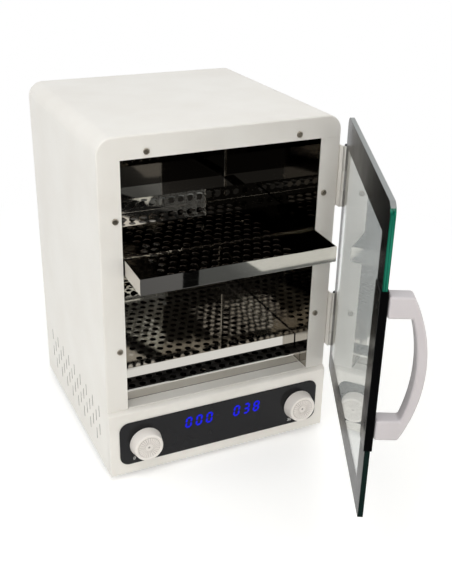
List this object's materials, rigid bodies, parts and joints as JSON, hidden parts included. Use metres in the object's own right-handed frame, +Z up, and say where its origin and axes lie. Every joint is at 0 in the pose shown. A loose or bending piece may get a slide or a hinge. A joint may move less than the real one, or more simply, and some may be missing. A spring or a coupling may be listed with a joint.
{
  "type": "dry heat sterilizer",
  "caption": "Bench-top dry heat sterilizer: steel cabinet with a polished chamber, perforated sliding trays, a side-hinged glass door and a panel of knobs and displays.",
  "frame": {"origin": "centre of the pressed pad under the base pan, level with the lower edge of the case", "axes": "+Z up, -Y towards the door and the control panel, +X to the right seen from the front, where the hinges are"},
  "size_m": [0.2802, 0.5412, 0.3918],
  "materials": {
    "white_enamel": "warm white powder coat, semi-gloss",
    "overlay_film": "black printed film",
    "display_window": "dark window over blue digits",
    "circuit_board": "green solder mask",
    "zinc_steel": "zinc coated sheet",
    "polished_steel": "mirror polished stainless sheet",
    "element_sheath": "heat-darkened steel sheath",
    "mineral_wool": "pale fibre blanket",
    "black_plastic": "moulded, satin",
    "relay_case": "moulded",
    "transformer_core": "dark, varnished",
    "nickel": "nickel plated steel",
    "foot_rubber": "matte",
    "tempered_glass": "clear tempered pane with a printed border",
    "black_paint": "gloss black coat",
    "black_screw": "blackened steel",
    "handle_plastic": "moulded, satin",
    "knob_plastic": "moulded, satin, finely ribbed face"
  },
  "bodies": {
    "cabinet": {"outer_case": "white_enamel", "control_fascia": "white_enamel", "control_overlay": "overlay_film", "time_display": "display_window", "temperature_display": "display_window", "control_board": "circuit_board", "time_potentiometer": "zinc_steel", "temperature_potentiometer": "zinc_steel", "chamber_liner": "polished_steel", "insulation_wrap": "mineral_wool", "insulation_back": "mineral_wool", "bottom_guard": "polished_steel", "heating_element": "element_sheath", "heater_clip_left": "zinc_steel", "heater_clip_right": "zinc_steel", "temperature_probe": "polished_steel", "thermal_cutout": "black_plastic", "base_pan": "zinc_steel", "power_board": "circuit_board", "power_relay": "relay_case", "transformer": "transformer_core", "back_panel": "white_enamel", "power_inlet": "black_plastic", "switch_housing": "black_plastic", "magnet_catch": "transformer_core", "left_rail": "polished_steel", "right_rail": "polished_steel", "frame_screw_top_left": "nickel", "frame_screw_top_right": "nickel", "frame_screw_upper_left": "nickel", "frame_screw_upper_right": "nickel", "frame_screw_lower_left": "nickel", "frame_screw_lower_right": "nickel", "foot_front_left": "foot_rubber", "foot_front_right": "foot_rubber", "foot_rear_left": "foot_rubber", "foot_rear_right": "foot_rubber", "case_hinge_leaf_upper": "white_enamel", "case_hinge_leaf_lower": "white_enamel", "hinge_pin_upper": "nickel", "hinge_pin_lower": "nickel"},
    "door": {"door_glass": "tempered_glass", "handle_bracket": "black_paint", "door_handle": "handle_plastic", "handle_screw_lower": "black_screw", "handle_screw_upper": "black_screw", "door_hinge_leaf_upper": "white_enamel", "door_hinge_leaf_lower": "white_enamel"},
    "upper_tray_slider": {"upper_tray": "polished_steel"},
    "lower_tray_slider": {"lower_tray": "polished_steel"},
    "time_dial": {"time_knob": "knob_plastic", "time_shaft": "nickel"},
    "temperature_dial": {"temperature_knob": "knob_plastic", "temperature_shaft": "nickel"},
    "rocker": {"power_rocker": "black_plastic"}
  },
  "joints": [
    {"name": "door_hinge", "type": "hinge", "parent": "cabinet", "child": "door", "pos_m": [0.1402, -0.1355, 0.235], "axis": [0, 0, 1], "range_deg": [-64.4, 35.6]},
    {"name": "upper_tray_slide", "type": "slide", "parent": "cabinet", "child": "upper_tray_slider", "axis": [0, -0.9988, -0.0497], "range_m": [-0.0776, 0.0429]},
    {"name": "lower_tray_slide", "type": "slide", "parent": "cabinet", "child": "lower_tray_slider", "axis": [0, -1, 0], "range_m": [0, 0.088]},
    {"name": "time_dial_turn", "type": "hinge", "parent": "cabinet", "child": "time_dial", "pos_m": [-0.0942, -0.145, 0.0374], "axis": [0, 1, 0], "range_deg": [0, 300]},
    {"name": "temperature_dial_turn", "type": "hinge", "parent": "cabinet", "child": "temperature_dial", "pos_m": [0.0995, -0.145, 0.0374], "axis": [0, 1, 0], "range_deg": [0, 300]},
    {"name": "rocker_tilt", "type": "hinge", "parent": "cabinet", "child": "rocker", "pos_m": [0.07, 0.1298, 0.038], "axis": [1, 0, 0], "range_deg": [-18, 0]}
  ],
  "couplings": [
    {"joint": "upper_tray_slide", "follows": "door_hinge", "m_per_rad": 0.06895}
  ]
}
